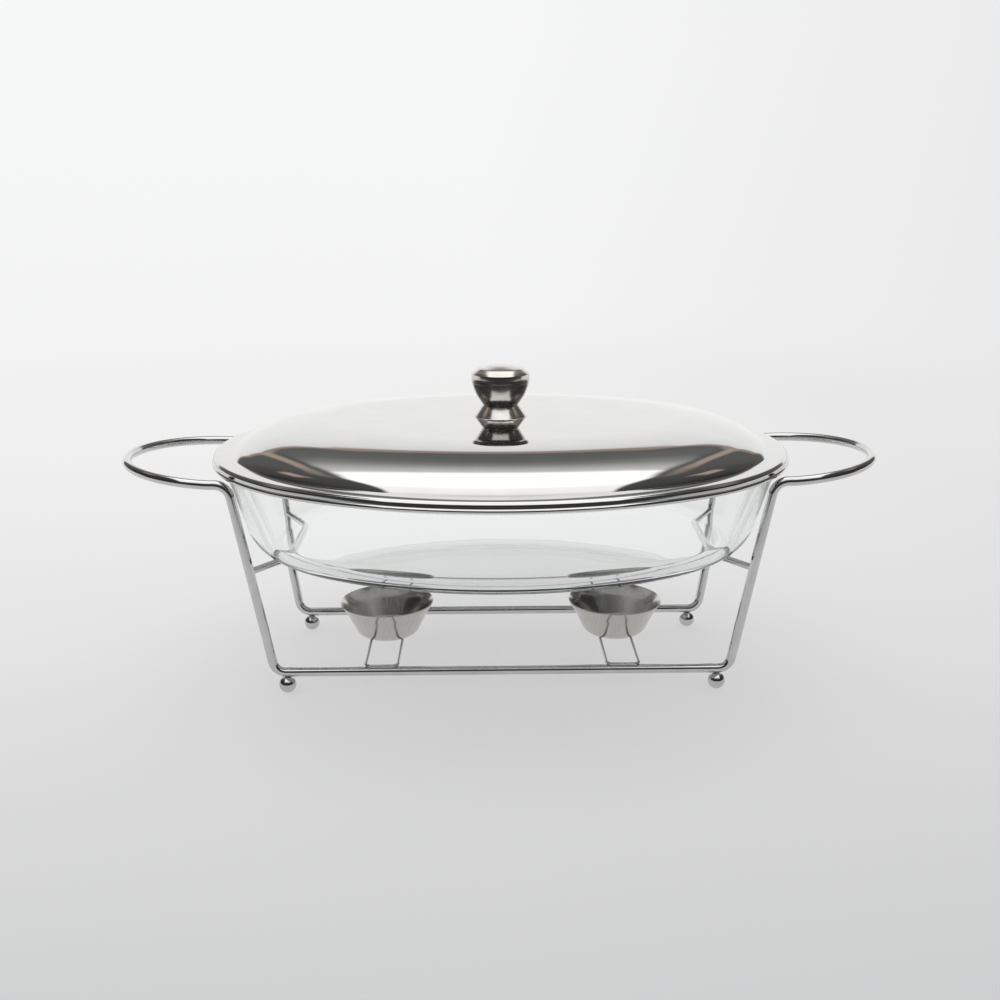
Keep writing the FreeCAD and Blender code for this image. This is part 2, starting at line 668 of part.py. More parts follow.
def knob_cap():
    """The cap: a joint line, a straight band and a domed top with a sharp edge between."""
    body = new_body("knob_cap")
    section = new_sketch(body, "XZ_Plane", "section")
    band = "(Dim.cap_joint + Dim.band_height)"
    top = f"{band} + Dim.cap_rise"
    dome_r = "((Dim.knob_r^2 + Dim.cap_rise^2) / (2 * Dim.cap_rise))"
    corners = [
        ("0", "0"),
        ("Dim.knob_r - Dim.cap_joint", "0"),
        ("Dim.knob_r - Dim.cap_joint", "Dim.cap_joint"),
        ("Dim.knob_r", "Dim.cap_joint"),
        ("Dim.knob_r", band),
    ]
    path = Path(section, corners, closed=False)
    add = section.addConstraint
    centre = vector(0, size(f"{top} - {dome_r}"), 0)
    edge = path.points[-1]
    start = math.atan2(edge.y - centre.y, edge.x)
    dome = section.addGeometry(Part.ArcOfCircle(
        Part.Circle(centre, vector(0, 0, 1), size(dome_r)), start, math.pi / 2))
    axis = section.addGeometry(Part.LineSegment(vector(0, size(top), 0), vector(0, 0, 0)))
    add(Sketcher.Constraint("Coincident", dome, 1, path.runs[3], 2))
    add(Sketcher.Constraint("Coincident", dome, 2, axis, 1))
    add(Sketcher.Constraint("Coincident", axis, 2, path.runs[0], 1))
    add(Sketcher.Constraint("PointOnObject", dome, 3, -2))
    place_point(section, axis, 1, ("0", top))
    revolve(body, "turned", section)
    body.setExpression("Placement.Base.z", BOWL_TOP_Z)


def knob_screw():
    """Pan head below the washer, shank up through lid and collar into the insert."""
    body = new_body("knob_screw")
    head_foot = f"({CROWN_Z} - Dim.lid_sheet - Dim.washer_t - Dim.screw_head)"
    length = "(Dim.screw_head + Dim.washer_t + Dim.lid_sheet + Dim.collar_height + Dim.screw_grip)"
    section = new_sketch(body, "XZ_Plane", "section")
    Path(section, [
        ("0", "0"),
        ("Dim.screw_head_d / 2", "0", "Dim.screw_head / 2"),
        ("Dim.screw_head_d / 2", "Dim.screw_head"),
        ("Dim.screw_d / 2", "Dim.screw_head"),
        ("Dim.screw_d / 2", length),
        ("0", length),
    ], closed=True)
    revolve(body, "turned", section)
    body.setExpression("Placement.Base.z", head_foot)


# The whole dish

front_wire = frame_wire("front_frame_wire", 1)
rear_wire = frame_wire("rear_frame_wire", -1)
both_wires = [front_wire, rear_wire]
pieces = list(both_wires)
for side, side_name in ((-1, "left"), (1, "right")):
    pieces.append(dish_rest(side_name + "_dish_rest", side, both_wires))
    pieces.append(cup_loop(side_name + "_cup_loop", side, both_wires))
    pieces.append(candle_cup(side_name + "_candle_cup", side))
    pieces.append(foot("foot_front_" + side_name, side, -1, front_wire))
    pieces.append(foot("foot_rear_" + side_name, side, 1, rear_wire))
pieces.append(glass_dish())
pieces.append(lid_shell())
knob()
pieces += [doc.getObject("knob_" + name) for name in ("cap", "bowl", "collar", "nut", "screw", "washer")]
doc.recompute()

# Checks, then one file for each piece

for item in doc.Objects:
    if "Invalid" in item.State or "Error" in item.State:
        raise RuntimeError(f"{item.Label} did not build: {item.State}")
for piece in pieces:
    if piece.Shape.isNull() or not piece.Shape.isValid():
        raise RuntimeError(piece.Label + " has no valid shape")
os.makedirs("parts", exist_ok=True)
for piece in pieces:
    piece.Shape.exportStep(f"parts/{piece.Label}.step")
    box = piece.Shape.BoundBox
    print(piece.Label, len(piece.Shape.Solids), round(piece.Shape.Volume, 1),
          [round(v, 2) for v in (box.XMin, box.XMax, box.YMin, box.YMax, box.ZMin, box.ZMax)])
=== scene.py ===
# %% [markdown]
# A chafing dish: a bent wire stand with ball feet, two candle cups, an oval glass dish and a
# mirror-polished lid with a turned knob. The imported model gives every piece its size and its
# place. A mirror shows the smallest facet, so this lesson bends, spins and turns the polished
# pieces again, smoothly, and then gives them their finish, the light and the camera.

# %% Load the frame
import bpy
import math
from mathutils import Matrix, Vector


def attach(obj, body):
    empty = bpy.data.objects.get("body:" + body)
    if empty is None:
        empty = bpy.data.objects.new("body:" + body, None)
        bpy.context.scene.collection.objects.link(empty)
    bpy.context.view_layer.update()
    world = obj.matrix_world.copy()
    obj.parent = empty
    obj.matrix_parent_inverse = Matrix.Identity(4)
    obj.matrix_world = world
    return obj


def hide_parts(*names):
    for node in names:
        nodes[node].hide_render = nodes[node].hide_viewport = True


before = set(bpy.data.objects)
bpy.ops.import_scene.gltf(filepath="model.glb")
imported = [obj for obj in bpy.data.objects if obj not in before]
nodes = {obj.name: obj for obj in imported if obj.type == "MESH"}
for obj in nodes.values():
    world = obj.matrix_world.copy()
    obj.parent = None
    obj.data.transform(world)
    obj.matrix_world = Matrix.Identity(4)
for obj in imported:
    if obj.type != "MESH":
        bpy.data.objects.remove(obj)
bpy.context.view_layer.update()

# %% [markdown]
# The camera stands where the photographer's stood. Its height, distance and lens were worked
# out from the spacing of the four feet, the rails, the cups and the handles.

# %% Camera
MM = 0.001
LENS_PX = 1120
FRAME_PX = 1000
SENSOR = 36.0
CAMERA_AWAY = 678.07 * MM
CAMERA_UP = 290.26 * MM
CAMERA_SIDE = -0.49 * MM
PITCH = math.radians(15.2426)
YAW = math.radians(0.9203)
ROLL = math.radians(-0.17)
VIEW_END = 50


def turn_about(axis, angle):
    return Matrix.Rotation(angle, 4, axis)


camera_data = bpy.data.cameras.new("camera")
camera_data.sensor_width = SENSOR
camera_data.lens = LENS_PX / FRAME_PX * SENSOR
camera_data.clip_end = VIEW_END
camera = bpy.data.objects.new("camera", camera_data)
bpy.context.scene.collection.objects.link(camera)
camera.matrix_world = (
    turn_about("Z", -YAW)
    @ Matrix.Translation((CAMERA_SIDE, -CAMERA_AWAY, CAMERA_UP))
    @ turn_about("X", math.pi / 2 - PITCH)
    @ turn_about("Z", ROLL))
bpy.context.scene.camera = camera
bpy.context.view_layer.update()
print("camera at", [round(v, 3) for v in camera.matrix_world.translation])

# %% [markdown]
# Nodes are added by a small helper, so that each material reads as a short list of steps.

# %% Node helpers


class Steps:
    """Adds nodes to one material or world and links them."""

    def __init__(self, tree):
        self.tree = tree
        tree.nodes.clear()

    def add(self, kind, **settings):
        node = self.tree.nodes.new(kind)
        for key, value in settings.items():
            setattr(node, key, value)
        return node

    def link(self, out, into):
        self.tree.links.new(out, into)

    def feed(self, socket, value):
        if isinstance(value, bpy.types.NodeSocket):
            self.link(value, socket)
        else:
            socket.default_value = value

    def math(self, operation, *values):
        node = self.add("ShaderNodeMath", operation=operation)
        for socket, value in zip(node.inputs, values):
            self.feed(socket, value)
        return node.outputs[0]

    def split(self, vector):
        node = self.add("ShaderNodeSeparateXYZ")
        self.link(vector, node.inputs[0])
        return node.outputs

    def join(self, x, y, z):
        node = self.add("ShaderNodeCombineXYZ")
        for socket, value in zip(node.inputs, (x, y, z)):
            self.feed(socket, value)
        return node.outputs[0]

    def between(self, value, low, high, to_low=0.0, to_high=1.0, smooth=False):
        """The value's share of the way from low to high, given as to_low to to_high."""
        kind = "SMOOTHSTEP" if smooth else "LINEAR"
        node = self.add("ShaderNodeMapRange", interpolation_type=kind)
        for socket, number in zip(node.inputs, (value, low, high, to_low, to_high)):
            self.feed(socket, number)
        return node.outputs[0]

    def noise(self, vector, scale, detail=2.0, distortion=0.0):
        node = self.add("ShaderNodeTexNoise")
        self.link(vector, node.inputs["Vector"])
        node.inputs["Scale"].default_value = scale
        node.inputs["Detail"].default_value = detail
        node.inputs["Distortion"].default_value = distortion
        return node.outputs["Fac"]

    def ramp(self, factor, stops):
        node = self.add("ShaderNodeValToRGB")
        elements = node.color_ramp.elements
        elements.remove(elements[1])
        for number, (place, shade) in enumerate(stops):
            element = elements[0] if number == 0 else elements.new(place)
            element.position = place
            level = shade if isinstance(shade, tuple) else (shade, shade, shade)
            element.color = (*level, 1)
        self.feed(node.inputs[0], factor)
        return node.outputs[0]

    def mix(self, factor, a, b):
        node = self.add("ShaderNodeMix", data_type="RGBA")
        self.feed(node.inputs[0], factor)
        self.feed(node.inputs[6], a)
        self.feed(node.inputs[7], b)
        return node.outputs[2]

    def bump(self, height, strength, distance):
        node = self.add("ShaderNodeBump")
        self.link(height, node.inputs["Height"])
        node.inputs["Strength"].default_value = strength
        node.inputs["Distance"].default_value = distance
        return node.outputs[0]

    def length(self, a, b):
        """The length of a line, from its two parts at right angles."""
        squares = self.math("ADD", self.math("MULTIPLY", a, a), self.math("MULTIPLY", b, b))
        return self.math("SQRT", squares)

    def metal(self, colour, roughness, normal):
        """A bare metal surface, led to the material's output."""
        surface = self.add("ShaderNodeBsdfPrincipled")
        surface.inputs["Metallic"].default_value = 1.0
        self.link(colour, surface.inputs["Base Color"])
        self.link(roughness, surface.inputs["Roughness"])
        self.link(normal, surface.inputs["Normal"])
        self.link(surface.outputs[0], self.add("ShaderNodeOutputMaterial").inputs["Surface"])


def new_material(name):
    material = bpy.data.materials.new(name)
    material.use_nodes = True
    steps = Steps(material.node_tree)
    return material, steps, steps.add("ShaderNodeTexCoord").outputs["Object"]


# %% [markdown]
# The studio. A mirror shows the room, so the room is what makes the lid. Read off the lid, it
# is a white sweep behind the dish up to 29 degrees above the horizon, a dark gap, a large white
# lamp overhead from 65 degrees on, and a dark room towards the photographer and to both sides.
# The world draws it by two angles: how far a ray has turned from the back over the top to the
# front, and how far it leans to a side.

# %% Studio room
SWEEP = 1.06
GAP_EDGE = (0.40, 0.32, 0.28)
TAN = (0.50, 0.41, 0.35)
LAMP_LEAN = 0.47
LAMP_BLUR = 0.03
SPREAD_FROM = 0.38
LAMP_SPREAD = 0.5
FAR_LEAN = 0.55
FAR_SLANT = 0.40


def turned_stops(*stops):
    """Colour stops placed by their angle over the horizon behind, in degrees."""
    return [(angle / 180, shade) for angle, shade in stops]


def past(value, start):
    """How far a value is past its start, and 0 before it."""
    return sky.math("MAXIMUM", sky.math("SUBTRACT", value, start), 0.0)


def window(value, low, full_from, full_to, high):
    """1 from full_from to full_to, falling to 0 at low and at high."""
    rising = sky.between(value, low, full_from)
    return sky.math("MULTIPLY", rising, sky.between(value, high, full_to))


world = bpy.data.worlds.new("studio")
bpy.context.scene.world = world
world.use_nodes = True
world.cycles.sampling_method = "NONE"
sky = Steps(world.node_tree)
ray_x, ray_y, ray_z = sky.split(sky.add("ShaderNodeTexCoord").outputs["Generated"])
over = sky.math("DIVIDE", sky.math("ARCTAN2", ray_z, ray_y), math.pi)
lean = sky.math("DIVIDE", sky.math("ABSOLUTE", ray_x), sky.length(ray_y, ray_z))
middle_room = sky.ramp(over, turned_stops(
    (0, SWEEP), (18, SWEEP), (23, 1.04), (28.6, 0.95), (29.4, GAP_EDGE), (30.8, GAP_EDGE),
    (31.6, 0.15), (44, 0.19), (51, 0.32), (58, 0.62), (63, 0.84), (65, 1.58), (76, 1.70),
    (92, 1.62), (101, 1.42), (124, 1.36), (133, 1.05), (140, 0.13), (155, 0.05), (180, 0.03)))
narrowed = sky.math("MULTIPLY_ADD", past(lean, FAR_LEAN), FAR_SLANT, over)
side_room = sky.ramp(narrowed, turned_stops(
    (0, SWEEP), (18, SWEEP), (24, 1.02), (28.0, 0.95), (29.0, GAP_EDGE), (32.0, GAP_EDGE),
    (34, 0.14), (60, 0.13), (80, 0.10), (130, 0.08), (180, 0.04)))
patch = sky.math(
    "MULTIPLY", window(over, 58 / 180, 64 / 180, 76 / 180, 84 / 180),
    window(lean, 0.76, 0.82, 1.04, 1.12))
post = sky.math(
    "MULTIPLY", window(lean, 0.50, 0.53, 0.56, 0.59), window(over, 0.155, 0.175, 0.30, 0.42))
furnished = sky.mix(sky.math("MAXIMUM", patch, post), side_room, (*TAN, 1))
lamp_edge = sky.math("SUBTRACT", lean, sky.math("MULTIPLY", past(over, SPREAD_FROM), LAMP_SPREAD))
beside_lamp = sky.between(lamp_edge, LAMP_LEAN - LAMP_BLUR, LAMP_LEAN + LAMP_BLUR, smooth=True)
upper_room = sky.mix(beside_lamp, middle_room, furnished)
print("room:", len(world.node_tree.nodes), "nodes so far")

# %% [markdown]
# The white backdrop is shown to the camera, and to what is seen through the glass, by Light
# Path. Everything soft gets one plain light level instead, so that a colour renders as written.

# %% Backdrop and light level
ROOM_LIGHT = 0.80
BEHIND_LOW = (0.98, 0.98, 0.98, 1)
FRONT_LOW = (0.05, 0.05, 0.05, 1)
BACKDROP_RIGHT = (0.80, 0.805, 0.80, 1)

lower_room = sky.mix(sky.between(ray_y, 0.1, -0.1), BEHIND_LOW, FRONT_LOW)
studio_room = sky.mix(sky.math("LESS_THAN", ray_z, 0.0), upper_room, lower_room)
sheet = sky.ramp(sky.between(ray_z, -1, 1), [
    (0.40, (0.86, 0.862, 0.86)), (0.455, (0.900, 0.908, 0.903)),
    (0.52, (0.915, 0.928, 0.92)), (0.565, (0.925, 0.935, 0.93))])
backdrop = sky.mix(sky.between(ray_x, 0.0, 0.5), sheet, BACKDROP_RIGHT)
path = sky.add("ShaderNodeLightPath").outputs
seen = sky.math("MAXIMUM", path["Is Camera Ray"], path["Is Transmission Ray"])
light_level = sky.mix(seen, (ROOM_LIGHT, ROOM_LIGHT, ROOM_LIGHT, 1), backdrop)
background = sky.add("ShaderNodeBackground")
sky.link(sky.mix(path["Is Glossy Ray"], light_level, studio_room), background.inputs["Color"])
sky.link(background.outputs[0], sky.add("ShaderNodeOutputWorld").inputs["Surface"])
print("world:", len(world.node_tree.nodes), "nodes")

# %% [markdown]
# The floor is one pale sheet. In the photograph it is so evenly lit that the shadow under the
# dish is faint. So part of its brightness is painted light: the floor glows in its colour for the
# camera and the mirrors, and the rest is lit and takes the shadow. Its colour is painted shade,
# darker towards the front and to the right. Far away it thins out into the backdrop.

# %% Floor
FLOOR_HALF = 3.0
LIT_SHARE = 0.36
FAR_FADE = (0.7, 1.9)
FRONT_FADE = (-0.42, -0.60)

bpy.ops.object.select_all(action="DESELECT")
bpy.ops.mesh.primitive_plane_add(size=2 * FLOOR_HALF, location=(0, 0, 0))
floor = bpy.context.object
floor.name = "floor"
paper, steps, place = new_material("pale_floor")
floor_x, floor_y = steps.split(place)[:2]
# Painted shade: the floor's colour grows darker towards the front, and towards the right.
shade = steps.ramp(steps.between(floor_y, -0.4, 1.2), [
    (0.0, (0.62, 0.625, 0.635)), (0.10, (0.70, 0.702, 0.705)), (0.25, (0.80, 0.80, 0.80)),
    (0.40, (0.84, 0.841, 0.84)), (0.65, (0.895, 0.897, 0.895)), (1.0, (0.905, 0.91, 0.905))])
painted_side_shade = steps.ramp(steps.between(floor_x, -0.5, 0.5), [(0.0, 1.0), (0.5, 0.985), (1.0, 0.92)])
painted_floor_shade = steps.add("ShaderNodeMix", data_type="RGBA", blend_type="MULTIPLY")
painted_floor_shade.inputs[0].default_value = 1.0
steps.link(shade, painted_floor_shade.inputs[6])
steps.link(painted_side_shade, painted_floor_shade.inputs[7])
lit = steps.add("ShaderNodeBsdfDiffuse")
steps.link(painted_floor_shade.outputs[2], lit.inputs["Color"])
# Painted light: the floor also glows in this colour, for the camera and the mirrors.
painted_glow = steps.add("ShaderNodeEmission")
steps.link(painted_floor_shade.outputs[2], painted_glow.inputs["Color"])
floor_path = steps.add("ShaderNodeLightPath").outputs
shown = steps.math("SUBTRACT", 1.0, floor_path["Is Diffuse Ray"])
evened = steps.add("ShaderNodeMixShader")
steps.link(steps.math("MULTIPLY", shown, 1 - LIT_SHARE), evened.inputs[0])
steps.link(lit.outputs[0], evened.inputs[1])
steps.link(painted_glow.outputs[0], evened.inputs[2])
far = steps.add("ShaderNodeVectorMath", operation="LENGTH")
steps.link(place, far.inputs[0])
gone = steps.math(
    "MAXIMUM", steps.between(far.outputs["Value"], *FAR_FADE, smooth=True),
    steps.between(floor_y, *FRONT_FADE, smooth=True))
thinned = steps.add("ShaderNodeMixShader")
steps.link(gone, thinned.inputs[0])
steps.link(evened.outputs[0], thinned.inputs[1])
steps.link(steps.add("ShaderNodeBsdfTransparent").outputs[0], thinned.inputs[2])
steps.link(thinned.outputs[0], steps.add("ShaderNodeOutputMaterial").inputs["Surface"])
floor.data.materials.append(paper)
print("floor:", 2 * FLOOR_HALF, "m wide")

# %% [markdown]
# One wide soft lamp hangs overhead and gives the faint shadows under the feet and the rails.
# Mirrors don't see it, because the world already draws it for them.

# %% Lamp
LAMP_W = 1.4
LAMP_D = 1.0
LAMP_SIDE = -0.1
LAMP_BACK = 0.1
LAMP_UP = 1.5
LAMP_POWER = 4.6

lamp_data = bpy.data.lights.new("overhead_lamp", "AREA")
lamp_data.shape = "RECTANGLE"
lamp_data.size = LAMP_W
lamp_data.size_y = LAMP_D
lamp_data.energy = LAMP_POWER
lamp = bpy.data.objects.new("overhead_lamp", lamp_data)
lamp.location = (LAMP_SIDE, LAMP_BACK, LAMP_UP)
lamp.visible_glossy = False
lamp.visible_transmission = False
bpy.context.scene.collection.objects.link(lamp)
print("lamp power:", LAMP_POWER, "W")

# %% [markdown]
# Polished steel is a mirror that is never quite even. Noise drawn out along the lid gives the
# fine lines that the polishing wheel left, a slow noise gives soft waves in the sheet, and a
# third one lets the gloss vary a little, as where hands and cloths have been.

# %% Mirror steel
mirror_steel, steps, place = new_material("mirror_steel")
part_x, part_y, part_z = steps.split(place)
drawn_out = steps.join(steps.math("MULTIPLY", part_x, 0.05), part_y, part_z)
wheel_lines = steps.noise(drawn_out, 2600, 3)
soft_waves = steps.noise(place, 14, 1)
handled = steps.noise(place, 55, 4, 0.6)
height = steps.math("ADD", steps.math("MULTIPLY", wheel_lines, 0.02), soft_waves)
steps.metal(
    steps.ramp(handled, [(0.3, (0.615, 0.61, 0.60)), (0.7, (0.65, 0.645, 0.636))]),
    steps.between(handled, 0.3, 0.75, 0.025, 0.06),
    steps.bump(height, 0.12, 0.0004))
print("mirror steel:", len(mirror_steel.node_tree.nodes), "nodes")

# %% [markdown]
# The knob is turned on a lathe, so its finish runs in fine rings round its own axis. The rings
# come from a noise that knows only the height and the distance from the axis. It is darker and
# browner than the lid, because its turned steel reflects the room a little less cleanly.

# %% Turned steel
turned_steel, steps, place = new_material("turned_steel")
part_x, part_y, part_z = steps.split(place)
rings = steps.noise(steps.join(steps.length(part_x, part_y), 0.0, part_z), 1500, 3)
clouds = steps.noise(place, 160, 3)
steps.metal(
    steps.ramp(clouds, [(0.3, (0.58, 0.55, 0.51)), (0.7, (0.68, 0.655, 0.62))]),
    steps.between(rings, 0.3, 0.7, 0.14, 0.24),
    steps.bump(rings, 0.10, 0.00012))
print("turned steel:", len(turned_steel.node_tree.nodes), "nodes")

# %% [markdown]
# The stand is bright plated wire. Plating is smooth but follows the drawn wire below it, so it
# has tiny pits and soft waves and a gloss that changes from place to place.

# %% Chrome wire
chrome_wire, steps, place = new_material("chrome_wire")
pits = steps.noise(place, 900, 2)
waves = steps.noise(place, 70, 2)
height = steps.math("ADD", waves, steps.math("MULTIPLY", pits, 0.15))
steps.metal(
    steps.ramp(waves, [(0.3, (0.57, 0.57, 0.568)), (0.7, (0.63, 0.63, 0.63))]),
    steps.between(pits, 0.3, 0.7, 0.05, 0.11),
    steps.bump(height, 0.08, 0.0002))
print("chrome wire:", len(chrome_wire.node_tree.nodes), "nodes")

# %% [markdown]
# The candle cups are spun from thin sheet. Each has rings round its own axis, and inside also
# upright streaks, where the tool and the flame have drawn on the steel. Both cups lie the same
# distance from the middle, so one pattern, centred by the distance sideways, serves both.

# %% Spun steel
CUP_MIDDLE = 73.0

spun_steel, steps, place = new_material("spun_steel")
part_x, part_y, part_z = steps.split(place)
cup_side = steps.math("SUBTRACT", steps.math("ABSOLUTE", part_x), CUP_MIDDLE * MM)
turn_round = steps.math("ARCTAN2", part_y, cup_side)
rings = steps.noise(steps.join(steps.length(cup_side, part_y), 0.0, part_z), 1800, 3)
upright = steps.join(turn_round, 0.0, steps.math("MULTIPLY", part_z, 6.0))
streaks = steps.noise(upright, 22, 4)
steps.metal(
    steps.ramp(streaks, [(0.25, (0.55, 0.53, 0.505)), (0.75, (0.64, 0.63, 0.615))]),
    steps.between(streaks, 0.2, 0.8, 0.16, 0.22),
    steps.bump(rings, 0.12, 0.00015))
print("spun steel:", len(spun_steel.node_tree.nodes), "nodes")

# %% [markdown]
# The dish is pressed glass: clear, with a faint blue-green body colour that shows where one
# looks along the wall or the rim, and with slow ripples left by the mould. Its index is set far
# below real glass's 1.5, for the clear look of the photograph. Light that only throws a shadow
# goes straight through, so that the floor under the dish stays pale.

# %% Clear glass
GLASS_IOR = 1.22
GLASS_TINT = (0.55, 0.86, 0.84, 1)
GLASS_DENSITY = 2.2

clear_glass, steps, place = new_material("clear_glass")
ripples = steps.noise(place, 26, 2)
used = steps.noise(place, 120, 4)
surface = steps.add("ShaderNodeBsdfPrincipled")
surface.inputs["Transmission Weight"].default_value = 1.0
surface.inputs["IOR"].default_value = GLASS_IOR
clear = steps.ramp(used, [(0.3, (0.985, 0.995, 0.992)), (0.7, (1.0, 1.0, 1.0))])
steps.link(clear, surface.inputs["Base Color"])
steps.link(steps.between(used, 0.5, 0.8, 0.0, 0.02), surface.inputs["Roughness"])
steps.link(steps.bump(ripples, 0.10, 0.0006), surface.inputs["Normal"])
shadow_ray = steps.add("ShaderNodeLightPath").outputs["Is Shadow Ray"]
passed = steps.add("ShaderNodeMixShader")
steps.link(shadow_ray, passed.inputs[0])
steps.link(surface.outputs[0], passed.inputs[1])
steps.link(steps.add("ShaderNodeBsdfTransparent").outputs[0], passed.inputs[2])
body_colour = steps.add("ShaderNodeVolumeAbsorption")
body_colour.inputs["Color"].default_value = GLASS_TINT
body_colour.inputs["Density"].default_value = GLASS_DENSITY
output = steps.add("ShaderNodeOutputMaterial")
steps.link(passed.outputs[0], output.inputs["Surface"])
steps.link(body_colour.outputs[0], output.inputs["Volume"])
print("clear glass:", len(clear_glass.node_tree.nodes), "nodes")

# %% [markdown]
# The small fixings keep their CAD shape. The insert is turned brass, the screw and the washer
# are plated steel with a slightly cloudy, scratched gloss.

# %% Fixings' metal


def small_metal(name, dark, light, smooth, rough):
    """A metal between two shades, with a cloudy, scratched gloss."""
    material, steps, place = new_material(name)
    clouds = steps.noise(place, 420, 4, 0.4)
    scratches = steps.noise(steps.join(*steps.split(place)[:2], 0.0), 2400, 2)
    steps.metal(
        steps.ramp(clouds, [(0.3, dark), (0.7, light)]),
        steps.between(clouds, 0.3, 0.7, smooth, rough),
        steps.bump(scratches, 0.15, 0.0001))
    return material


turned_brass = small_metal("turned_brass", (0.60, 0.44, 0.18), (0.76, 0.58, 0.27), 0.22, 0.36)
plated_steel = small_metal("plated_steel", (0.54, 0.54, 0.54), (0.68, 0.68, 0.69), 0.24, 0.40)
fixings = {"knob_nut": turned_brass, "knob_screw": plated_steel, "knob_washer": plated_steel}
for name, material in fixings.items():
    nodes[name].data.materials.clear()
    nodes[name].data.materials.append(material)
print("fixings:", ", ".join(fixings))

# %% [markdown]
# Wire is bent as on a bench: a straight run, a bend, a straight run. One helper does it for
# every wire and for every section line. What is selected, a ring or a single point, is extruded
# along each run and spun round each bend. A corner is given by its sharp point and its radius.

# %% Runs and bends
FINEST_TURN = math.radians(12)
SHORTEST_RUN = 0.001 * MM


def bend_at(corners, number):
    """Where the bend at a corner starts and ends, its centre, axis and angle."""
    corner, radius = corners[number]
    back = (corners[number - 1][0] - corner).normalized()
    ahead = (corners[(number + 1) % len(corners)][0] - corner).normalized()
    angle = math.pi - back.angle(ahead)
    reach = radius * math.tan(angle / 2)
    centre = corner + (back + ahead).normalized() * radius / math.cos(angle / 2)
    axis = ahead.cross(back).normalized()
    return corner + back * reach, corner + ahead * reach, centre, axis, angle


def follow(corners, chord, extrude):
    """Draw what is selected along a path of corners, each a point and its bend radius."""
    here = corners[0][0]
    for number, (corner, radius) in enumerate(corners[1:], start=1):
        start, end = corner, corner
        if radius:
            start, end, centre, axis, angle = bend_at(corners, number)
        if (start - here).length > SHORTEST_RUN:
            extrude(TRANSFORM_OT_translate={"value": start - here})
        if radius:
            pieces = max(math.ceil(angle / FINEST_TURN), math.ceil(angle * radius / chord))
            bpy.ops.mesh.spin(steps=pieces, angle=-angle, center=centre, axis=axis)
        here = end


def corner_mm(x, y, z, radius=0.0):
    """A corner given in millimetres."""
    return Vector((x, y, z)) * MM, radius * MM


print("finest bend step:", round(math.degrees(FINEST_TURN)), "degrees")

# %% [markdown]
# Each new piece ends the same way: doubled points are merged, the faces are turned outwards, the
# smooth parts are shaded smooth, and the piece takes its finish and its body and stands in for
# its CAD node, which is hidden.

# %% Finishing a piece
MERGE = 0.0005 * MM
SHARP = math.radians(35)


def close_piece(node, body, material, edge=0.0):
    """Leave edit mode with a closed, smooth piece that stands for its CAD node."""
    bpy.ops.mesh.select_all(action="SELECT")
    bpy.ops.mesh.remove_doubles(threshold=MERGE)
    bpy.ops.mesh.fill_holes(sides=0)
    bpy.ops.mesh.normals_make_consistent(inside=False)
    bpy.ops.object.mode_set(mode="OBJECT")
    piece = bpy.context.object
    piece.name = node + "_polished"
    piece.data.name = piece.name
    bpy.ops.object.transform_apply(location=True, rotation=True, scale=True)
    if edge:
        bpy.ops.object.modifier_add(type="BEVEL")
        rounding = piece.modifiers[-1]
        rounding.width = edge
        rounding.segments = 2
        rounding.limit_method = "ANGLE"
        rounding.angle_limit = SHARP
        bpy.ops.object.modifier_apply(modifier=rounding.name)
    bpy.ops.object.shade_smooth_by_angle(angle=SHARP)
    adopt(piece, node, body, material)
    return piece


def adopt(piece, node, body, material):
    """Give a piece its finish and its body, and let it stand for its CAD node."""
    piece.data.materials.clear()
    piece.data.materials.append(material)
    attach(piece, body)
    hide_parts(node)
    print(piece.name, len(piece.data.polygons), "faces")


# %% [markdown]
# A wire starts as a small ring of points, set square to the first run, and is then drawn along
# its path. Copies for the other side are made by turning the finished mesh's points over.

# %% Bending a wire
RING_POINTS = 32


def bend_wire(node, corners, diameter, chord):
    """A wire along the corners. A path that ends where it began closes when it is merged."""
    along = (corners[1][0] - corners[0][0]).normalized()
    bpy.ops.object.select_all(action="DESELECT")
    bpy.ops.mesh.primitive_circle_add(
        vertices=RING_POINTS, radius=diameter / 2, location=corners[0][0],
        rotation=along.to_track_quat("Z", "Y").to_euler())
    bpy.ops.object.transform_apply(location=True, rotation=True, scale=True)
    bpy.ops.object.mode_set(mode="EDIT")
    bpy.ops.mesh.select_mode(type="EDGE")
    bpy.ops.mesh.select_all(action="SELECT")
    follow(corners, chord, bpy.ops.mesh.extrude_edges_move)
    return close_piece(node, "stand", chrome_wire)


def turned_over(piece, node, body, material, x=1, y=1):
    """A copy of a piece on the other side, with its own mesh."""
    bpy.ops.object.select_all(action="DESELECT")
    piece.select_set(True)
    bpy.context.view_layer.objects.active = piece
    bpy.ops.object.duplicate(linked=False)
    copy = bpy.context.object
    copy.name = node + "_polished"
    copy.data.name = copy.name
    copy.scale = (x, y, 1)
    bpy.ops.object.transform_apply(location=False, rotation=False, scale=True)
    bpy.ops.object.mode_set(mode="EDIT")
    bpy.ops.mesh.select_all(action="SELECT")
    bpy.ops.mesh.normals_make_consistent(inside=False)
    bpy.ops.object.mode_set(mode="OBJECT")
    adopt(copy, node, body, material)
    return copy


print("wires have", RING_POINTS, "points round")

# %% [markdown]
# The frame is two wires, front and rear. Each starts at the tip of the left handle, runs round a
# quarter of it, down the left leg, along the table, up the right leg and out to the right
# handle's tip, where it is welded to its twin. The handles rise a little towards their tips.

# %% Frame wires
WIRE_D = 5.6 * MM
RAIL_X, RAIL_Y, RAIL_Z = 137.2, 50.9, 12.75
LEG_X, LEG_Y, HANDLE_Z = 156.6, 58.7, 131.5
LEVEL_END_X = 166.4
LIFT_BEND = 40.0
HANDLE_RISE = 4.6
LEG_BEND = 9.0
RAIL_BEND = 8.0
FRAME_CHORD = 2.0 * MM

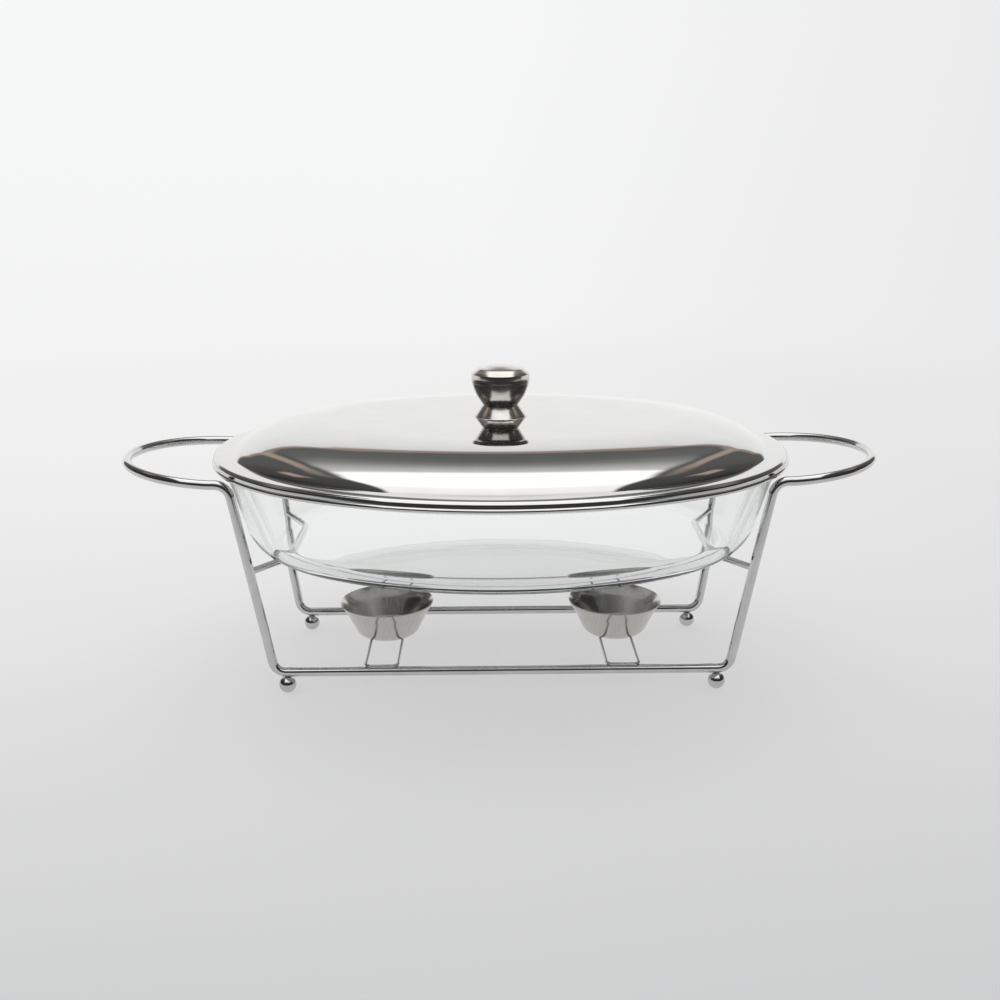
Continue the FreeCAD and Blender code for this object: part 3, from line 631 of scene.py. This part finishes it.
lift = math.asin(HANDLE_RISE / LEG_Y)
lift_x = LEVEL_END_X + LIFT_BEND * math.tan(lift / 2)
centre_x = LEVEL_END_X + LIFT_BEND * math.sin(lift)
centre_z = HANDLE_Z + LIFT_BEND * (1 - math.cos(lift))
tip_x = centre_x + LEG_Y * math.cos(lift)
tip_z = centre_z + HANDLE_RISE


def half_frame(side):
    """The corners from a handle's tip to the rail, on one side."""
    return [
        corner_mm(side * tip_x, 0, tip_z),
        corner_mm(side * tip_x, -LEG_Y, tip_z, LEG_Y),
        corner_mm(side * lift_x, -LEG_Y, HANDLE_Z, LIFT_BEND),
        corner_mm(side * LEG_X, -LEG_Y, HANDLE_Z, LEG_BEND),
        corner_mm(side * RAIL_X, -RAIL_Y, RAIL_Z, RAIL_BEND),
    ]


frame_path = half_frame(-1) + half_frame(1)[::-1]
front_frame = bend_wire("front_frame_wire", frame_path, WIRE_D, FRAME_CHORD)
turned_over(front_frame, "rear_frame_wire", "stand", chrome_wire, y=-1)

# %% [markdown]
# The dish stands on two staples of thinner wire. Each bar lies along the edge of the glass
# floor, and its two arms run out to the legs, where they are welded on.

# %% Dish rests
REST_D = 4.2 * MM
REST_Z = 78.0
REST_X = 127.5
REST_HALF = 26.0
REST_BEND = 7.0
REST_CHORD = 1.5 * MM
WELD_X, WELD_Y = 147.86, 55.19

left_rest = bend_wire("left_dish_rest", [
    corner_mm(-WELD_X, -WELD_Y, REST_Z),
    corner_mm(-REST_X, -REST_HALF, REST_Z, REST_BEND),
    corner_mm(-REST_X, REST_HALF, REST_Z, REST_BEND),
    corner_mm(-WELD_X, WELD_Y, REST_Z),
], REST_D, REST_CHORD)
turned_over(left_rest, "right_dish_rest", "stand", chrome_wire, x=-1)

# %% [markdown]
# Each cup stands on a long closed loop of thin wire that lies across both rails.

# %% Cup loops
LOOP_D = 1.9 * MM
LOOP_Z = 16.35
LOOP_IN, LOOP_OUT = 63.15, 82.85
LOOP_END = 51.9
LOOP_BEND = 4.0
LOOP_CHORD = 1.0 * MM

left_loop = bend_wire("left_cup_loop", [
    corner_mm(-LOOP_IN, 0, LOOP_Z),
    corner_mm(-LOOP_IN, LOOP_END, LOOP_Z, LOOP_BEND),
    corner_mm(-LOOP_OUT, LOOP_END, LOOP_Z, LOOP_BEND),
    corner_mm(-LOOP_OUT, -LOOP_END, LOOP_Z, LOOP_BEND),
    corner_mm(-LOOP_IN, -LOOP_END, LOOP_Z, LOOP_BEND),
    corner_mm(-LOOP_IN, 0, LOOP_Z),
], LOOP_D, LOOP_CHORD)
turned_over(left_loop, "right_cup_loop", "stand", chrome_wire, x=-1)

# %% [markdown]
# The feet are polished balls, worn to a small flat where they stand. A sphere is cut with
# bisect at the table, and the cut is closed.

# %% Ball feet
FOOT_R = 5.15 * MM
FOOT_X, FOOT_Y, FOOT_Z = 130.1 * MM, 50.9 * MM, 4.95 * MM
FOOT_CUT = 0.00002

bpy.ops.object.select_all(action="DESELECT")
bpy.ops.mesh.primitive_uv_sphere_add(
    segments=48, ring_count=32, radius=FOOT_R, location=(-FOOT_X, -FOOT_Y, FOOT_Z))
bpy.ops.object.transform_apply(location=True, rotation=True, scale=True)
bpy.ops.object.mode_set(mode="EDIT")
bpy.ops.mesh.select_all(action="SELECT")
bpy.ops.mesh.bisect(
    plane_co=(0, 0, FOOT_CUT), plane_no=(0, 0, 1), use_fill=True, clear_inner=True)
first_foot = close_piece("foot_front_left", "stand", chrome_wire)
for node, x, y in (
        ("foot_front_right", -1, 1), ("foot_rear_left", 1, -1), ("foot_rear_right", -1, -1)):
    turned_over(first_foot, node, "stand", chrome_wire, x=x, y=y)

# %% [markdown]
# Turned and spun pieces start as one point. The point is drawn along the piece's half section,
# in the upright plane through the axis, and the finished line is spun once round. The same line
# serves for the oval dish and lid, which are spun round four centres in turn.

# %% Drawing a section
SPIN_STEPS = 96


def start_point(point):
    """A new object with one point, in edit mode."""
    bpy.ops.object.select_all(action="DESELECT")
    bpy.ops.mesh.primitive_plane_add(size=1 * MM)
    bpy.ops.object.mode_set(mode="EDIT")
    bpy.ops.mesh.select_mode(type="VERT")
    bpy.ops.mesh.select_all(action="SELECT")
    bpy.ops.mesh.merge(type="CENTER")
    bpy.ops.transform.translate(value=point)


def draw_section(corners, chord):
    """Draw the section's line and leave all of it selected."""
    start_point(corners[0][0])
    follow(corners, chord, bpy.ops.mesh.extrude_vertices_move)
    bpy.ops.mesh.select_all(action="SELECT")
    bpy.ops.mesh.remove_doubles(threshold=MERGE)


def spin_piece(node, body, material, section, axis_x=0.0, chord=0.6 * MM, edge=0.0):
    """A piece turned on an upright axis from its half section of (radius, height, bend)."""
    draw_section([corner_mm(axis_x + r, 0, z, *bend) for r, z, *bend in section], chord)
    bpy.ops.mesh.spin(
        steps=SPIN_STEPS, angle=2 * math.pi, center=(axis_x * MM, 0, 0), axis=(0, 0, 1))
    return close_piece(node, body, material, edge)


def beside(line, distance):
    """The corners of a line that runs beside another, to its right, with its bends fitted."""
    result = []
    for number, (x, z, *bend) in enumerate(line):
        here = Vector((x, z))
        sides = []
        for other, sign in ((number - 1, -1), (number + 1, 1)):
            if 0 <= other < len(line):
                along = (Vector(line[other][:2]) - here).normalized() * sign
                sides.append((along, Vector((along.y, -along.x))))
        normal = sum((side for _, side in sides), Vector((0, 0)))
        scale = 1.0
        if len(sides) == 2:
            scale = 1 / (1 + sides[0][1].dot(sides[1][1]))
            right_turn = sides[0][0].cross(sides[1][0]) < 0
            bend = [bend[0] - distance if right_turn else bend[0] + distance]
        result.append((*(here + normal * scale * distance), *bend))
    return result


print("section helpers ready")

# %% [markdown]
# The candle cups are spun from 0.8 mm sheet: a flat floor, a round corner, a cone and a rim
# that flares out. The inside line runs beside the outside one at the sheet's thickness.

# %% Candle cups
CUP_FLOOR = 17.3
CUP_SHEET = 0.8
CUP_EDGE = 0.18 * MM

cup_outside = [(0, 0), (18.3, 0, 8.0), (25.9, 15.6, 20.0), (30.0, 21.9)]
cup_line = [(r, z + CUP_FLOOR, *bend) for r, z, *bend in cup_outside]
cup_section = cup_line + beside(cup_line, -CUP_SHEET)[::-1]
left_cup = spin_piece(
    "left_candle_cup", "stand", spun_steel, cup_section, axis_x=-CUP_MIDDLE, edge=CUP_EDGE)
turned_over(left_cup, "right_candle_cup", "stand", spun_steel, x=-1)

# %% [markdown]
# The knob is turned in three pieces: a cone-shaped collar with a thin lip, a flared bowl with a
# dark groove under it, and a cap with a straight band, a sloped shoulder and a domed top. The
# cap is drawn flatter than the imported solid, by 1.5 mm at its top. Sharp edges get a hair of
# rounding, which catches the light.

# %% Knob
KNOB_EDGE = 0.12 * MM
LID_TOP = 158.5
COLLAR_HEIGHT = 7.9
BOWL_HEIGHT = 13.9
BOWL_FOOT = LID_TOP + COLLAR_HEIGHT
CAP_FOOT = BOWL_FOOT + BOWL_HEIGHT
CAP_R = 17.7
CAP_HEIGHT = 10.1
SCREW_WAY_R = 2.7
INSERT_R = 4.0
INSERT_TOP = 11.0


def turn_knob_piece(node, foot, section):
    """A piece of the knob from its half section, raised to its foot."""
    raised = [(r, z + foot, *bend) for r, z, *bend in section]
    return spin_piece(node, "lid", turned_steel, raised, edge=KNOB_EDGE)


turn_knob_piece("knob_collar", LID_TOP, [
    (SCREW_WAY_R, 0), (17.3, 0), (17.3, 0.3), (15.9, 1.1, 1.5), (11.1, COLLAR_HEIGHT),
    (SCREW_WAY_R, COLLAR_HEIGHT), (SCREW_WAY_R, 0)])
turn_knob_piece("knob_bowl", BOWL_FOOT, [
    (INSERT_R, 0), (10.2, 0), (10.2, 0.6), (11.2, 0.6), (15.4, 7.0, 16.0), (CAP_R, BOWL_HEIGHT),
    (0, BOWL_HEIGHT), (0, INSERT_TOP), (INSERT_R, INSERT_TOP), (INSERT_R, 0)])
turn_knob_piece("knob_cap", CAP_FOOT, [
    (0, 0), (17.2, 0), (17.2, 0.5), (CAP_R, 0.5), (CAP_R, 5.4), (13.6, 8.5, 3.5),
    (5.0, CAP_HEIGHT, 22.0), (0, CAP_HEIGHT)])

# %% [markdown]
# Dish and lid share one plan: an oval of four arcs that run into each other. The section stands
# at the right end and is spun round the end's centre, then round the far centre of the long
# side, and so on all the way round. Every section line is measured in from the lid's edge.

# %% Spinning round the oval
END_CENTRE = 48.5
SIDE_CENTRE = 80.37
END_HALF = math.atan2(SIDE_CENTRE, END_CENTRE)
SIDE_TURN = math.pi - 2 * END_HALF
HALF_LENGTH = 175.0
OVAL_STEP = math.radians(1.5)
OVAL_CHORD = 1.2 * MM


def spin_oval(node, body, material, section):
    """A closed section of (inset, height, bend), spun round the four centres of the oval."""
    draw_section(
        [corner_mm(HALF_LENGTH - inset, 0, z, *bend) for inset, z, *bend in section], OVAL_CHORD)
    for centre_x, centre_y, angle in (
            (END_CENTRE, 0, END_HALF), (0, -SIDE_CENTRE, SIDE_TURN), (-END_CENTRE, 0, 2 * END_HALF),
            (0, SIDE_CENTRE, SIDE_TURN), (END_CENTRE, 0, END_HALF)):
        bpy.ops.mesh.spin(
            steps=round(angle / OVAL_STEP), angle=-angle,
            center=(centre_x * MM, centre_y * MM, 0), axis=(0, 0, 1))
    return close_piece(node, body, material)


print("end arc:", round(math.degrees(2 * END_HALF), 1), "degrees")
print("side arc:", round(math.degrees(SIDE_TURN), 1), "degrees")

# %% [markdown]
# The glass dish has a flat floor, a round lower corner, a leaning wall and a thick bead for a
# rim. Its line is left open at the floor, whose two flat faces are closed in one piece.

# %% Glass dish
DISH_UNDER = 80.4
DISH_FLOOR = 85.9
FLOOR_IN = 62
RIM_UNDER = 134.3
RIM_TOP = 140.3
RIM_IN = 3.0
RIM_BEND = 2.4

spin_oval("glass_dish", "dish", clear_glass, [
    (FLOOR_IN, DISH_UNDER), (23.0, DISH_UNDER, 23.0), (6.5, RIM_UNDER),
    (RIM_IN, RIM_UNDER, RIM_BEND), (RIM_IN, RIM_TOP, RIM_BEND), (11.0, RIM_TOP, 1.6),
    (27.65, DISH_FLOOR, 18.0), (FLOOR_IN, DISH_FLOOR)])

# %% [markdown]
# The lid is pressed from 0.7 mm sheet: a low crown that steepens in three soft bends, a crisp
# line at the dome's foot, a flat flange, a rounded step and a rolled edge. The outside line is
# drawn from the crown down to the roll, and the inside line runs beside it back up.

# %% Lid
SHEET = 0.7
STEP_IN = 1.0
FLANGE_Z = 141.3
ROLL_R = 1.3
ROLL_Z = 137.1
ROLL_SIDES = 16
MEETS_OUTSIDE = 1.265
MEETS_INSIDE = 1.237

lid_outside = [
    (80.0, LID_TOP), (55.5, LID_TOP, 168.0), (27.2, 153.05, 58.0), (14.15, 144.35, 11.5),
    (12.5, FLANGE_Z, 0.8), (STEP_IN, FLANGE_Z, 1.5), (STEP_IN, ROLL_Z + MEETS_OUTSIDE)]
lid_inside = beside(lid_outside, SHEET)
lid_inside[-1] = (STEP_IN + SHEET, ROLL_Z + MEETS_INSIDE)
first_turn = math.atan2(MEETS_OUTSIDE, STEP_IN - ROLL_R)
last_turn = math.atan2(MEETS_INSIDE, STEP_IN + SHEET - ROLL_R) + 2 * math.pi
roll_corners = []
for number in range(1, ROLL_SIDES):
    turn = first_turn + (last_turn - first_turn) * number / ROLL_SIDES
    roll_corners.append((ROLL_R + ROLL_R * math.cos(turn), ROLL_Z + ROLL_R * math.sin(turn)))
spin_oval("lid_shell", "lid", mirror_steel, lid_outside + roll_corners + lid_inside[::-1])

# %% [markdown]
# Last come the view settings.

# %% Settings
bpy.context.scene.view_settings.view_transform = "Standard"
bpy.context.view_layer.update()
